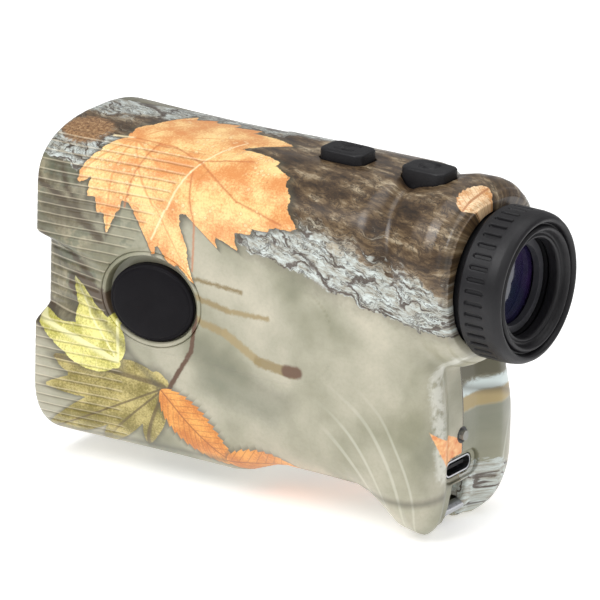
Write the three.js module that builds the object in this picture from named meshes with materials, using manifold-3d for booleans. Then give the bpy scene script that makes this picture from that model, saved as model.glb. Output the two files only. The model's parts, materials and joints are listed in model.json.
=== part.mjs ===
// Monocular laser rangefinder: two-piece camouflage housing, optical train,
// electronics, diopter ring and two top buttons. Millimetres, +Z up, +Y towards
// the objective, -Y towards the eyepiece, +X to the user's right.
//
// Everything is drawn in the eyepiece frame (y from the eyecup's rim towards the
// objective, z from the eyepiece axis) and moved to the part's frame at the end.
import * as THREE from 'three';
import { mergeGeometries, mergeVertices } from 'three/addons/utils/BufferGeometryUtils.js';
import Module from 'manifold-3d';

const wasm = await Module();
wasm.setup();

// ---------------------------------------------------------------- dimensions
const LIP_Y = -1.5;                 // rearmost point of the eyecup's rim
const FRONT_Y = 102.5;              // front edge of the housing
const LOWEST_Z = -52.4;             // bottom of the two rear lobes
const WALL = 2.0;                   // housing wall
const GAP = 0.3;                    // clearance between touching pieces
const FLAT_HALF = 5.5;              // half width of the flat strip underneath
const CORNER_RISE = 13.5;           // height of the lower corner rounding
const ARCH_RISE = 11.5;             // height of the arch over the barrel
const NECK_BORE_R = 13.5;
const TIDY = 0.015;                 // slivers thinner than this are merged away

// Half width, top and bottom of the housing along its length.
const HOUSING_STATIONS = [
  [14.4, 6.5, 14.5, -44.0], [14.9, 9.5, 14.8, -47.5], [15.9, 12.0, 15.4, -50.6],
  [17.4, 14.2, 16.0, -52.2], [18.9, 15.6, 16.8, LOWEST_Z], [21.0, 16.8, 17.4, -51.4],
  [24.0, 17.8, 17.9, -49.2], [27.4, 18.6, 18.3, -46.6], [31.0, 19.1, 18.5, -45.1],
  [40.0, 19.0, 18.5, -45.0], [48.6, 18.6, 18.5, -45.0], [52.0, 18.4, 18.4, -45.6],
  [55.0, 18.3, 18.3, -46.8], [58.0, 18.2, 18.2, -48.0], [61.0, 18.1, 18.1, -48.6],
  [76.0, 18.2, 17.9, -48.6], [88.0, 19.2, 17.7, -48.6], [95.0, 20.1, 17.6, -48.6],
  [98.0, 20.35, 17.6, -48.6], [100.5, 20.5, 17.6, -48.6], [FRONT_Y, 20.5, 17.6, -48.6],
];
const SIDE_LEVELS = [-28, -24, -20, -17, -13.3, -9.5, -5.5, -1.5];
const FRONT_WAIST = { z: -13.3, flat: 5.6, half: 10.2, depth: 5.2, length: 9.0 };
const REAR_WAIST = { z: -20.0, half: 13.0, depth: 3.0, length: 14.0, start: 14.4 };

const DISC = {
  y: 76.0, z: -13.3, r: 8.5, pocketR: 9.5, wide: 1.1, tall: 0.93, tilt: 7.0, depth: 1.6, padR: 11.5, padX: 14.5,
};
const BUTTON = { length: 10.4, half: 3.7, top: 20.6, nose: 1.6, flange: 0.8, ceiling: 16.5, side: 0.35 };
const MODE_Y = 43.1;
const POWER_Y = 24.3;
const USB = { y: 15.7, z: -39.8, half: 4.5, rise: 1.65, length: 7.3, wall: 0.32 };
const LED = { y: 14.1, z: -33.2, r: 1.0 };
const LANYARD = { y: 17.3, z: -48.8, r: 1.2, notchHalf: 2.6, pinHalf: 6.0, floor: -43.2, depth: 23.0 };
const EYECUP = { r: 15.3, bore: 9.8, slots: 40, slotDepth: 0.45, slotHalf: 0.42 };
const RECEIVER_Z = -31.0;

// ---------------------------------------------------------------- mesh tools
function solid(vertices, triangles) {
  const geometry = new THREE.BufferGeometry();
  geometry.setAttribute('position', new THREE.Float32BufferAttribute(vertices.flat(), 3));
  geometry.setIndex(triangles.flat());
  return facingOut(geometry);
}

function signedVolume(geometry) {
  const position = geometry.attributes.position;
  const index = geometry.index;
  const [a, b, c] = [new THREE.Vector3(), new THREE.Vector3(), new THREE.Vector3()];
  let volume = 0;
  for (let i = 0; i < index.count; i += 3) {
    a.fromBufferAttribute(position, index.getX(i));
    b.fromBufferAttribute(position, index.getX(i + 1));
    c.fromBufferAttribute(position, index.getX(i + 2));
    volume += a.dot(b.cross(c)) / 6;
  }
  return volume;
}

function facingOut(geometry) {
  if (signedVolume(geometry) < 0) {
    const array = geometry.index.array;
    for (let i = 0; i < array.length; i += 3) {
      [array[i + 1], array[i + 2]] = [array[i + 2], array[i + 1]];
    }
  }
  return geometry;
}

// A closed outline of [radius, y] turned about the Y axis.
function revolve(outline, segments = 32) {
  const vertices = [];
  const rows = outline.map(([radius, y]) => {
    if (radius === 0) {
      vertices.push([0, y, 0]);
      return Array(segments).fill(vertices.length - 1);
    }
    return Array.from({ length: segments }, (_, k) => {
      const angle = (2 * Math.PI * k) / segments;
      vertices.push([radius * Math.cos(angle), y, radius * Math.sin(angle)]);
      return vertices.length - 1;
    });
  });
  const triangles = [];
  for (let i = 0; i < rows.length; i += 1) {
    const here = rows[i];
    const next = rows[(i + 1) % rows.length];
    for (let k = 0; k < segments; k += 1) {
      const m = (k + 1) % segments;
      if (here[k] !== here[m]) triangles.push([here[k], here[m], next[k]]);
      if (next[k] !== next[m]) triangles.push([here[m], next[m], next[k]]);
    }
  }
  return solid(vertices, triangles);
}

function tube(outer, inner, y0, y1, segments = 32) {
  return revolve([[inner, y0], [outer, y0], [outer, y1], [inner, y1]], segments);
}

function rod(radius, y0, y1, segments = 24) {
  return revolve([[0, y0], [radius, y0], [radius, y1], [0, y1]], segments);
}

// Sections of equal point count joined along Y and closed by a fan at each end.
function loft(sections) {
  const count = sections[0].length;
  const vertices = sections.flat();
  const triangles = [];
  for (let s = 0; s + 1 < sections.length; s += 1) {
    for (let k = 0; k < count; k += 1) {
      const a = s * count + k;
      const b = s * count + ((k + 1) % count);
      triangles.push([a, b, a + count], [b, b + count, a + count]);
    }
  }
  for (const [s, flip] of [[0, true], [sections.length - 1, false]]) {
    const ring = sections[s];
    const middle = ring.reduce((sum, p) => sum.map((v, i) => v + p[i] / count), [0, 0, 0]);
    vertices.push(middle);
    for (let k = 0; k < count; k += 1) {
      const a = s * count + k;
      const b = s * count + ((k + 1) % count);
      triangles.push(flip ? [b, a, vertices.length - 1] : [a, b, vertices.length - 1]);
    }
  }
  return solid(vertices, triangles);
}

function box(x0, x1, y0, y1, z0, z1) {
  const geometry = new THREE.BoxGeometry(x1 - x0, y1 - y0, z1 - z0);
  geometry.translate((x0 + x1) / 2, (y0 + y1) / 2, (z0 + z1) / 2);
  return geometry;
}

// A flat outline of [a, b] points drawn in XY and raised from z0 to z1.
function raised(outline, z0, z1, bevel = 0) {
  const shape = new THREE.Shape(outline.map(([a, b]) => new THREE.Vector2(a, b)));
  const depth = z1 - z0 - 2 * bevel;
  const options = { depth, bevelEnabled: bevel > 0, bevelThickness: bevel };
  Object.assign(options, { bevelSize: bevel, bevelOffset: -bevel, bevelSegments: 2 });
  const geometry = new THREE.ExtrudeGeometry(shape, options);
  geometry.translate(0, 0, z0 + bevel);
  return geometry;
}

function rounded(halfA, halfB, radius, steps = 5) {
  const outline = [];
  for (const [sa, sb, turn] of [[1, 1, 0], [-1, 1, 1], [-1, -1, 2], [1, -1, 3]]) {
    for (let i = 0; i <= steps; i += 1) {
      const angle = ((turn + i / steps) * Math.PI) / 2;
      const a = sa * (halfA - radius) + radius * Math.cos(angle);
      const b = sb * (halfB - radius) + radius * Math.sin(angle);
      outline.push([a, b]);
    }
  }
  return outline;
}

const quarter = Math.PI / 2;
const alongX = (geometry) => geometry.rotateZ(-quarter);
const alongZ = (geometry) => geometry.rotateX(quarter);
const facingRear = (geometry) => geometry.rotateX(quarter);

function toManifold(geometry) {
  let bare = geometry.index ? geometry.toNonIndexed() : geometry.clone();
  for (const name of Object.keys(bare.attributes)) {
    if (name !== 'position') bare.deleteAttribute(name);
  }
  bare = mergeVertices(bare, 1e-5);
  const vertProperties = new Float32Array(bare.attributes.position.array);
  const triVerts = new Uint32Array(bare.index.array);
  return new wasm.Manifold(new wasm.Mesh({ numProp: 3, vertProperties, triVerts }));
}

function fromManifold(manifold) {
  const mesh = manifold.getMesh();
  const geometry = new THREE.BufferGeometry();
  geometry.setAttribute('position', new THREE.BufferAttribute(mesh.vertProperties, 3));
  geometry.setIndex(new THREE.BufferAttribute(mesh.triVerts, 1));
  return geometry;
}

const join = (first, ...rest) => rest.reduce((sum, g) => sum.add(toManifold(g)), toManifold(first));
const cut = (manifold, ...tools) => tools.reduce((left, g) => left.subtract(toManifold(g)), manifold);

// ---------------------------------------------------------------- housing
function station(y) {
  const last = HOUSING_STATIONS.length - 1;
  let i = 0;
  while (i < last - 1 && HOUSING_STATIONS[i + 1][0] < y) i += 1;
  const [low, high] = [HOUSING_STATIONS[i], HOUSING_STATIONS[i + 1]];
  const t = THREE.MathUtils.clamp((y - low[0]) / (high[0] - low[0]), 0, 1);
  return low.map((value, k) => value + t * (high[k] - value));
}

function bump(value, centre, half) {
  const t = Math.abs(value - centre) / half;
  return t >= 1 ? 0 : Math.cos((t * Math.PI) / 2) ** 2;
}

// How far the side is drawn in at the front waist and at the rear grip.
function drawnIn(y, z) {
  const frontFade = THREE.MathUtils.clamp((y - FRONT_Y + FRONT_WAIST.length) / FRONT_WAIST.length, 0, 1);
  const rearFade = THREE.MathUtils.clamp(1 - (y - REAR_WAIST.start) / REAR_WAIST.length, 0, 1);
  const away = Math.abs(z - FRONT_WAIST.z);
  const scoop = 1 - THREE.MathUtils.smoothstep(away, FRONT_WAIST.flat, FRONT_WAIST.half);
  const front = FRONT_WAIST.depth * frontFade * scoop;
  const rear = REAR_WAIST.depth * rearFade * bump(z, REAR_WAIST.z, REAR_WAIST.half);
  return front + rear;
}

function section(y, inset) {
  const [, width, high, low] = station(y);
  const half = width - inset;
  const top = high - inset;
  const bottom = low + inset;
  const flat = Math.min(FLAT_HALF, half * 0.35);
  const cornerSteps = 7;
  const archSteps = 9;
  const right = [[flat, bottom]];
  for (let i = 1; i <= cornerSteps; i += 1) {
    const angle = (quarter * i) / cornerSteps;
    const x = flat + (half - flat) * Math.sin(angle);
    right.push([x, bottom + CORNER_RISE * (1 - Math.cos(angle))]);
  }
  for (const z of SIDE_LEVELS) right.push([half - drawnIn(y, z), z]);
  for (let i = 0; i < archSteps; i += 1) {
    const angle = (quarter * i) / archSteps;
    right.push([half * Math.cos(angle), top - ARCH_RISE + ARCH_RISE * Math.sin(angle)]);
  }
  const left = right.slice().reverse().map(([x, z]) => [-x, z]);
  const ring = [[0, bottom], ...right, [0, top], ...left];
  return ring.map(([x, z]) => [x, y, z]);
}

// A disc in the side's slightly turned plane; x is measured from the axis at the disc's centre.
function discTool(radius, x0, x1, side, drop = 0) {
  const [, width] = station(DISC.y);
  const geometry = alongX(rod(radius, x0 - width, x1 - width, 40)).scale(1, DISC.wide, DISC.tall);
  geometry.rotateZ(THREE.MathUtils.degToRad(-DISC.tilt));
  geometry.translate(width, DISC.y, DISC.z - drop);
  return side < 0 ? facingOut(geometry.scale(-1, 1, 1)) : geometry;
}

function buttonOutline(grow) {
  const end = BUTTON.length / 2 + grow;
  const half = BUTTON.half + grow;
  const nose = BUTTON.nose;
  return [
    [half, -end + nose], [half, end - nose], [half - nose, end],
    [-half + nose, end], [-half, end - nose], [-half, -end + nose],
    [-half + nose, -end], [half - nose, -end],
  ];
}

function buildShells() {
  const outerLoft = loft(HOUSING_STATIONS.map(([y]) => section(y, 0)));
  const barrel = revolve([
    [0, 9.6], [16.5, 9.6], [17.5, 10.2], [18.2, 11.2], [18.6, 12.8],
    [18.8, 15], [18.8, 19], [18.35, 24], [17.6, 30], [0, 30],
  ], 56);
  const innerYs = [16.6, 17.9, 19.4, 21.5, 24.8, 31, 40, 49, 53, 58, 62, 76, 88, 95, 98, 100.5, FRONT_Y];
  const innerRings = innerYs.map((y) => section(y, WALL));
  const past = innerRings[innerRings.length - 1].map(([x, y, z]) => [x, y + 5, z]);
  const cavity = loft([...innerRings, past]);

  let body = join(outerLoft, barrel);
  body = cut(body, cavity, rod(NECK_BORE_R, 5, 32, 48));
  body = cut(body, box(-5.7, 5.7, 16.8, 50.5, 12, BUTTON.ceiling));
  for (const side of [-1, 1]) {
    const pad = alongX(rod(DISC.padR, DISC.padX, 17.2, 40));
    if (side < 0) facingOut(pad.scale(-1, 1, 1));
    body = body.add(toManifold(pad.translate(0, DISC.y, DISC.z)));
    const [, width] = station(DISC.y);
    body = cut(body, discTool(DISC.pocketR, width - DISC.depth, width + 8, side));
  }
  for (const y of [MODE_Y, POWER_Y]) {
    body = cut(body, raised(buttonOutline(GAP), 15, 22).translate(0, y, 0));
  }
  const slotHalf = USB.half + GAP;
  const slotRise = USB.rise + GAP;
  const slot = facingRear(raised(rounded(slotHalf, slotRise, slotRise - 0.05), -26, -10));
  const oval = facingRear(raised(rounded(slotHalf + 1, slotRise + 1, slotRise + 0.9), -USB.y + 0.2, -10));
  body = cut(body, slot.translate(0, 0, USB.z), oval.translate(0, 0, USB.z));
  body = cut(body, rod(LED.r + GAP, 10, 20, 20).translate(0, 0, LED.z));
  const notch = box(-LANYARD.notchHalf, LANYARD.notchHalf, 10, LANYARD.depth, -60, LANYARD.floor);
  const pinHole = alongX(rod(LANYARD.r + GAP, -LANYARD.pinHalf - GAP, LANYARD.pinHalf + GAP, 20));
  // The notch has its own roof and front wall inside the housing.
  const roof = box(-6.9, 6.9, 16.0, LANYARD.depth + 2, LANYARD.floor - 4.3, LANYARD.floor + 1.6);
  const frontWall = box(-6.9, 6.9, LANYARD.depth - 1.6, LANYARD.depth + 2, -53, LANYARD.floor + 1.2);
  const block = toManifold(roof).add(toManifold(frontWall)).intersect(toManifold(outerLoft));
  body = body.add(block);
  body = cut(body, notch, pinHole.translate(0, LANYARD.y, LANYARD.z));

  const split = GAP / 2;
  const left = cut(body, box(-split, 40, -10, 120, -80, 40));
  const right = cut(body, box(-40, split, -10, 120, -80, 40));
  return [left, right];
}

// ---------------------------------------------------------------- materials
const paint = (color, roughness, extra = {}) => new THREE.MeshStandardMaterial({ color, roughness, ...extra });
const MATERIAL = {
  camo: paint(0xa9a78f, 0.45),
  rubber: paint(0x2a2a2d, 0.7),
  plastic: paint(0x1f1f22, 0.55),
  grey: paint(0x55565a, 0.5),
  glass: paint(0x3a5a68, 0.08, { transparent: true, opacity: 0.4 }),
  metal: paint(0xb9bbbf, 0.3, { metalness: 1 }),
  brass: paint(0xc2a05a, 0.35, { metalness: 1 }),
  board: paint(0x1f5a38, 0.5),
  battery: paint(0x4a6fa0, 0.5),
  led: paint(0xd8d8d0, 0.3),
};

const part = new THREE.Group();
part.name = 'laser_rangefinder';

function place(name, shape, material) {
  const closed = shape.isBufferGeometry ? toManifold(shape) : shape;
  const source = fromManifold(closed.simplify(TIDY));
  const geometry = mergeGeometries([source]);
  geometry.translate(0, -(FRONT_Y + LIP_Y) / 2, -LOWEST_Z);
  geometry.computeVertexNormals();
  const mesh = new THREE.Mesh(geometry, MATERIAL[material]);
  mesh.name = name;
  part.add(mesh);
}

// ---------------------------------------------------------------- housing pieces
const [shellLeft, shellRight] = buildShells();
place('shell_left', shellLeft, 'camo');
place('shell_right', shellRight, 'camo');
for (const [name, side] of [['side_disc_left', -1], ['side_disc_right', 1]]) {
  const [, width] = station(DISC.y);
  const foot = discTool(DISC.r, width - DISC.depth + GAP, width - 0.1, side, 0.6);
  const face = discTool(DISC.r - 0.5, width - 0.2, width + 0.35, side, 0.6);
  place(name, join(foot, face), 'plastic');
}
place('lanyard_pin', alongX(rod(LANYARD.r, -LANYARD.pinHalf, LANYARD.pinHalf, 20))
  .translate(0, LANYARD.y, LANYARD.z), 'metal');

// The front plate closes the housing and carries the two windows.
function frontPlate() {
  const rings = [98.9, 100.9].map((y) => section(y, WALL + GAP));
  const objectiveHole = rod(11.4, 95, 105, 40);
  const receiverHole = rod(9.3, 95, 105, 40).translate(0, 0, RECEIVER_Z);
  return cut(join(loft(rings)), objectiveHole, receiverHole);
}
place('front_plate', frontPlate(), 'plastic');

// ---------------------------------------------------------------- optics
function lens(radius, y0, y1, sag, z = 0) {
  const outline = [];
  const steps = 3;
  for (let i = 0; i <= steps; i += 1) {
    const t = i / steps;
    outline.push([radius * t, y0 - sag * (1 - t * t)]);
  }
  for (let i = steps; i >= 0; i -= 1) {
    const t = i / steps;
    outline.push([radius * t, y1 + sag * (1 - t * t)]);
  }
  return revolve(outline, 28).translate(0, 0, z);
}

place('objective_barrel', revolve([
  [10.2, 58], [13.0, 58], [13.0, 98.6], [12.5, 98.6], [12.5, 90.5], [11.0, 90.5], [11.0, 64], [10.2, 64],
]), 'plastic');
place('objective_lens', lens(12.2, 91.6, 94.2, 0.9), 'glass');
place('objective_retainer', tube(12.2, 10.9, 96.0, 98.2), 'plastic');
place('receiver_barrel', (() => {
  const body = revolve([
    [8.6, 74], [12.0, 74], [12.0, 76.2], [10.4, 76.2], [10.4, 98.6],
    [9.9, 98.6], [9.9, 91.5], [8.6, 91.5],
  ]).translate(0, 0, RECEIVER_Z);
  const holes = [-1, 1].map((side) => rod(1.0, 73, 77.5, 12).translate(0, 0, RECEIVER_Z + side * 10.3));
  return cut(join(body), ...holes);
})(), 'plastic');
place('receiver_lens', lens(9.6, 92.6, 94.6, 0.8, RECEIVER_Z), 'glass');
place('receiver_retainer', tube(9.6, 8.6, 96.2, 98.2).translate(0, 0, RECEIVER_Z), 'plastic');
place('laser_diode', revolve([[0, 71.9], [2.8, 71.9], [2.8, 73.4], [2.3, 73.4], [2.3, 77], [0, 77]], 24)
  .translate(0, 0, RECEIVER_Z), 'brass');

const boardHoles = [-1, 1].map((side) => rod(1.0, 65, 75, 12).translate(0, 0, RECEIVER_Z + side * 10.3));
place('detector_board', cut(join(box(-9, 9, 70, 71.6, -44, -18.4)), ...boardHoles), 'board');
for (const [name, side] of [['detector_screw_upper', 1], ['detector_screw_lower', -1]]) {
  place(name, revolve([[0, 68.5], [1.7, 68.5], [1.7, 69.7], [0.7, 69.7], [0.7, 75.8], [0, 75.8]], 16)
    .translate(0, 0, RECEIVER_Z + side * 10.3), 'metal');
}

// Prism cage: a block with a light path bored through and a pocket for each prism.
const CAGE = { half: 12.2, y0: 36, y1: 57, z0: -12.6, z1: 10.6 };
const cageShell = cut(
  join(box(-CAGE.half, CAGE.half, CAGE.y0, CAGE.y1, CAGE.z0, CAGE.z1)),
  box(-10.6, 10.6, CAGE.y0 + 2, CAGE.y1 - 2, -10.6, 20),
  rod(8.5, 30, 60, 32),
);
place('prism_cage', cageShell, 'plastic');
const facingSide = (geometry) => geometry.rotateY(quarter);
function prism(points, half) {
  // The outline is given as [z, y]; turning it by a quarter lays it in the vertical plane.
  const flipped = points.map(([z, y]) => [-z, y]);
  return facingSide(raised(flipped, -half, half));
}
place('roof_prism', prism([[-9.8, 38.5], [9.8, 38.5], [9.8, 45.6], [-9.8, 41.0]], 10), 'glass');
place('erecting_prism', prism([[-9.8, 42.2], [9.8, 46.8], [9.8, 54.4], [-9.8, 54.4]], 10), 'glass');
place('reticle_display', box(-8, 8, 32.6, 33.8, -8, 8), 'glass');

// ---------------------------------------------------------------- eyepiece
place('eyepiece_sleeve', tube(13.2, 11.4, 4.5, 31, 40), 'plastic');
place('lens_cell', revolve([
  [9.8, 3.0], [11.3, 3.0], [11.3, 24], [8.2, 24], [8.2, 20.5], [9.2, 20.5], [9.2, 8.5], [8.4, 8.5],
  [8.4, 7.4], [9.8, 7.4],
], 40), 'plastic');
place('cell_retainer', tube(9.6, 8.1, 3.7, 5.0, 40), 'grey');
place('eye_lens', lens(9.5, 5.7, 6.7, 0.5), 'glass');
place('field_lens', lens(8.9, 17.6, 19.4, 0.7), 'glass');

place('ring_core', tube(14.3, 13.28, 3.0, 7.8, 48), 'plastic');
function eyecup() {
  const profile = [
    [14.5, 7.8], [EYECUP.r, 7.8], [EYECUP.r, 0.2], [14.8, -0.9], [13.8, LIP_Y], [13.1, -1.35],
    [12.4, -0.2], [11.7, -0.7], [10.6, -0.9], [EYECUP.bore, -0.2], [EYECUP.bore, 2.6], [14.5, 2.6],
  ];
  const slots = [];
  for (let i = 0; i < EYECUP.slots; i += 1) {
    const tool = box(-EYECUP.slotHalf, EYECUP.slotHalf, 1.9, 6.4, EYECUP.r - EYECUP.slotDepth, 17);
    slots.push(tool.rotateY((2 * Math.PI * i) / EYECUP.slots));
  }
  return cut(join(revolve(profile, 80)), ...slots);
}
place('eyecup', eyecup(), 'rubber');

// ---------------------------------------------------------------- buttons
function button(y, mark) {
  const cap = raised(buttonOutline(0), 16.35, BUTTON.top, 0.45).translate(0, y, 0);
  const flange = raised(buttonOutline(BUTTON.flange), 15.95, 16.3 + 0.15).translate(0, y, 0);
  const groove = mark.map((g) => g.translate(0, y, 0));
  return cut(join(cap, flange), ...groove);
}
const markTop = BUTTON.top - BUTTON.side;
const bar = (x0, x1, y0, y1) => box(x0, x1, y0, y1, markTop, BUTTON.top + 1);
const modeMark = [bar(-1.6, -0.9, -2, 2), bar(0.9, 1.6, -2, 2), bar(-1, 1, -0.35, 0.35)];
const powerMark = [tube(1.9, 1.25, 0, 3, 24).rotateX(quarter).translate(0, 0, markTop + 3)];
place('mode_button', button(MODE_Y, modeMark), 'rubber');
place('power_button', button(POWER_Y, powerMark), 'rubber');
place('button_board', box(-5.2, 5.2, 16.9, 50.2, 13.5, 14.4), 'board');
for (const [name, y] of [['mode_switch', MODE_Y], ['power_switch', POWER_Y]]) {
  place(name, alongZ(revolve([[0, 14.6], [2.4, 14.6], [1.4, 15.2], [0, 15.2]], 20))
    .translate(0, y, 0), 'metal');
}

// ---------------------------------------------------------------- electronics
const WEB = { x0: 2.6, x1: 8.9, y0: 62.6, y1: 67.4 };
const boardScrewZ = [-22, -36];
const acrossHole = (z, radius) => alongX(rod(radius, 3.5, 14, 12)).translate(0, 65, z);
place('chassis', cut(
  join(
    box(-12.5, 12.5, 33, 92, -17.6, -15.6),
    box(WEB.x0, WEB.x1, WEB.y0, WEB.y1, -42, -16),
  ),
  ...boardScrewZ.map((z) => acrossHole(z, 1.1)),
  box(-1.6, 1.6, 76.5, 90, -18, -15),
), 'metal');
place('main_board', cut(
  join(box(9.3, 10.7, 30, 69, -39.5, -18.2)),
  ...boardScrewZ.map((z) => acrossHole(z, 1.1)),
), 'board');
for (const [name, z] of [['board_screw_upper', -22], ['board_screw_lower', -36]]) {
  place(name, alongX(revolve([[0, 4.2], [0.8, 4.2], [0.8, 11.0], [1.8, 11.0], [1.8, 12.2], [0, 12.2]], 16))
    .translate(0, 65, z), 'metal');
}
place('battery', facingRear(raised(rounded(7.6, 11.2, 2.2, 4), -61.2, -31)).translate(0, 0, -30), 'battery');

function usbReceptacle() {
  const outside = raised(rounded(USB.half, USB.rise, USB.rise - 0.05), -USB.y - USB.length, -USB.y);
  const innerHalf = USB.half - USB.wall;
  const innerRise = USB.rise - USB.wall;
  const inside = raised(rounded(innerHalf, innerRise, innerRise - 0.05), -USB.y - USB.length + 0.6, -USB.y + 3);
  return cut(join(facingRear(outside)), facingRear(inside));
}
place('usb_receptacle', fromManifold(usbReceptacle()).translate(0, 0, USB.z), 'metal');
place('usb_tongue', box(-3.3, 3.3, USB.y + 0.8, USB.y + USB.length - 0.9, USB.z - 0.35, USB.z + 0.35), 'plastic');
place('usb_board', box(-5.6, 5.6, 19.2, 30, -35.6, -34.8).translate(0, 0, -1.9), 'board');
place('charge_led', rod(LED.r, LED.y, 19.2, 20).translate(0, 0, LED.z), 'led');

export default part;
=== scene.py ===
"""Looks of the laser rangefinder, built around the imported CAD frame. Metres, +Y towards the objective."""
import json
import math

import bmesh
import bpy
import numpy as np
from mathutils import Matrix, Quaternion, Vector


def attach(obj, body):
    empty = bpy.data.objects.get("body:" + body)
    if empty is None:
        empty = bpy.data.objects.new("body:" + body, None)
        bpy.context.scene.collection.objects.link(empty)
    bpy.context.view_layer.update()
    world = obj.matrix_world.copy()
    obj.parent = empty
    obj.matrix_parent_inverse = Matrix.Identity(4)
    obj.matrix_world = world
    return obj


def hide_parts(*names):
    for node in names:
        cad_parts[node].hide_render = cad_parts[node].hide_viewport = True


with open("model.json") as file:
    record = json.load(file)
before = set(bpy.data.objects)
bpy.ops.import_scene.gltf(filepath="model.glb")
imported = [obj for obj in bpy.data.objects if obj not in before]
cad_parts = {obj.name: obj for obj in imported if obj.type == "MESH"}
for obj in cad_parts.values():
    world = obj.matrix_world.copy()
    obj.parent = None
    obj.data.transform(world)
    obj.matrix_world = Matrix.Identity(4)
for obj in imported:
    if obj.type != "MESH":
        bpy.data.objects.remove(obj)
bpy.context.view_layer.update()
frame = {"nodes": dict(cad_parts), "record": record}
NODES = frame["nodes"]
MM = 0.001

# The eyepiece frame: y from the eyecup's rim towards the objective, z from the eyepiece axis.
SHIFT = np.array([0.0, -50.5, 52.4])


def row(point):
    """A point of the eyepiece frame in mm, as a point of the part's frame in metres."""
    return Vector((np.array(point, dtype=float) + SHIFT) * MM)


# ---------------- camera
AZIMUTH, ELEVATION = math.radians(-57.0), math.radians(19.2)
ROLL = math.radians(1.5)
TARGET = row((0.3, 53.5, -13.8))
DISTANCE = 1.5
FRAME_WIDTH = 0.1176
cam_data = bpy.data.cameras.new("camera")
cam = bpy.data.objects.new("camera", cam_data)
bpy.context.scene.collection.objects.link(cam)
back = Vector((
    math.sin(AZIMUTH) * math.cos(ELEVATION),
    -math.cos(AZIMUTH) * math.cos(ELEVATION),
    math.sin(ELEVATION),
))
cam_data.sensor_width = 36
cam_data.lens = 36 * DISTANCE / FRAME_WIDTH
cam.location = TARGET + back * DISTANCE
cam.rotation_mode = "QUATERNION"
cam.rotation_quaternion = (-back).to_track_quat("-Z", "Y") @ Quaternion((0, 0, 1), ROLL)
bpy.context.scene.camera = cam

# ---------------- housing field
FRONT = 102.5                    # the front edge
WALL = 2.0
ARCH = 11.5                      # height of the arch over the straight sides
ARCH_POWER = 2.5                 # 2 would be an ellipse; more is squarer
CORNER = 13.5                    # height of the rounding at the foot of each side
FLAT = 5.5                       # half width of the flat underside
# Half width, top and underside of the body at stations along it.
STATION_Y = np.array([12, 17, 20.5, 24, 27.4, 31, 40, 48.6, 52, 55, 58, 61, 66, 76, 88, 95, 98, FRONT])
HALF = np.array([17.6, 18.2, 18.4, 18.6, 18.8, 19.0, 18.9, 18.6, 18.4, 18.3, 18.2, 18.1, 18.1, 18.2, 19.2,
                 20.1, 20.4, 20.5])
TOP = np.array([17.6, 17.7, 17.8, 17.9, 18.0, 17.9, 17.8, 17.7, 17.7, 17.6, 17.6, 17.5, 17.4, 17.2, 17.0,
                16.9, 16.9, 16.9])
LOW = np.array([-49.8, -52.3, -51.7, -48.8, -46.4, -45.1, -45.0, -45.0, -45.6, -46.8, -48.0, -48.6, -48.6,
                -48.6, -48.6, -48.6, -48.6, -48.6])
DISC_Y, DISC_Z, POCKET_R = 76.0, -13.3, 9.5
OVAL_Y, OVAL_Z = 1.1, 0.93       # the discs and their pockets are a little wider than tall
PANEL_END_Y, PANEL_R = 43.4, 10.4
NECK_BORE = 13.5
MODE_Y, POWER_Y = 43.1, 24.3
BUTTON_END, BUTTON_HALF, BUTTON_NOSE = 4.95, 3.5, 1.2
BUTTON_GAP = 0.16
PORT_Z, LAMP_Z = -39.8, -33.2
CUT_DEPTH_Y = 21.0               # how far forward the port and lamp openings reach
NOTCH_HALF, NOTCH_TOP, NOTCH_END_Y = 2.6, -43.2, 23.0

# The arch of a mid section, measured along its curve. The sides end and the arch begins at SPRING.
SPRING = 6.5
MID_HALF = 19.0

ARC_A = np.linspace(0, math.pi / 2, 60)
ARC_LENGTH = np.concatenate([[0], np.cumsum(np.hypot(
    np.diff(MID_HALF * np.cos(ARC_A)), np.diff(ARCH * np.sin(ARC_A))))])
CREST = SPRING + ARC_LENGTH[-1]


def smooth_max(a, b, k):
    """The larger of two fields, blended where they are within k of each other."""
    h = np.clip(0.5 + 0.5 * (a - b) / k, 0, 1)
    return b + (a - b) * h + k * h * (1 - h)


def smooth_min(a, b, k):
    return -smooth_max(-a, -b, k)


def ramp(value, low, high):
    """0 below low, 1 above high, smooth between."""
    t = np.clip((value - low) / (high - low), 0, 1)
    return t * t * (3 - 2 * t)


def bump(value, centre, half):
    """1 at the centre, falling to 0 at half to either side."""
    t = np.clip(np.abs(value - centre) / half, 0, 1)
    return np.cos(t * math.pi / 2) ** 2


def wrap_height(x, y, z):
    """Distance up the left side and over the top, in mm: z on the side, then along the arch."""
    half = np.interp(y, STATION_Y, HALF)
    spring = np.interp(y, STATION_Y, TOP) - ARCH
    angle = np.arctan2(np.maximum(z - spring, 0) / ARCH, np.abs(x) / half)
    side = np.where(z < spring, z, SPRING + np.interp(angle, ARC_A, ARC_LENGTH))
    return np.where(x < 0, side, 2 * CREST - side)


def disc_distance(y, z):
    """Distance from a disc's axis, as if the oval were round."""
    return np.hypot((y - DISC_Y) / OVAL_Y, (z - DISC_Z) / OVAL_Z)


def panel_distance(y, z):
    """Distance inside the long raised panel behind the disc, positive inside."""
    nearest = np.clip(y, PANEL_END_Y, DISC_Y)
    return PANEL_R - np.hypot(y - nearest, z - DISC_Z)


# The rear edge of the grooved front, as y for each height on the side.
RIB_EDGE_V = np.array([-50, -40, -32, -26, -20, -13, -8, -2, 6, 14, 22, 27, 30])
RIB_EDGE_Y = np.array([83, 82.5, 82, 83, 85.5, 88, 85.5, 80, 74.5, 70, 66, 63.5, 63])
STEP_BACK = 3.2                  # how far behind that edge the raised skin steps down
RIB_PITCH, RIB_DEPTH = 2.0, 0.32
SCOOP_START, SCOOP_DEPTH = 87.5, 5.0
GRIP_DEPTH = 3.4


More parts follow.
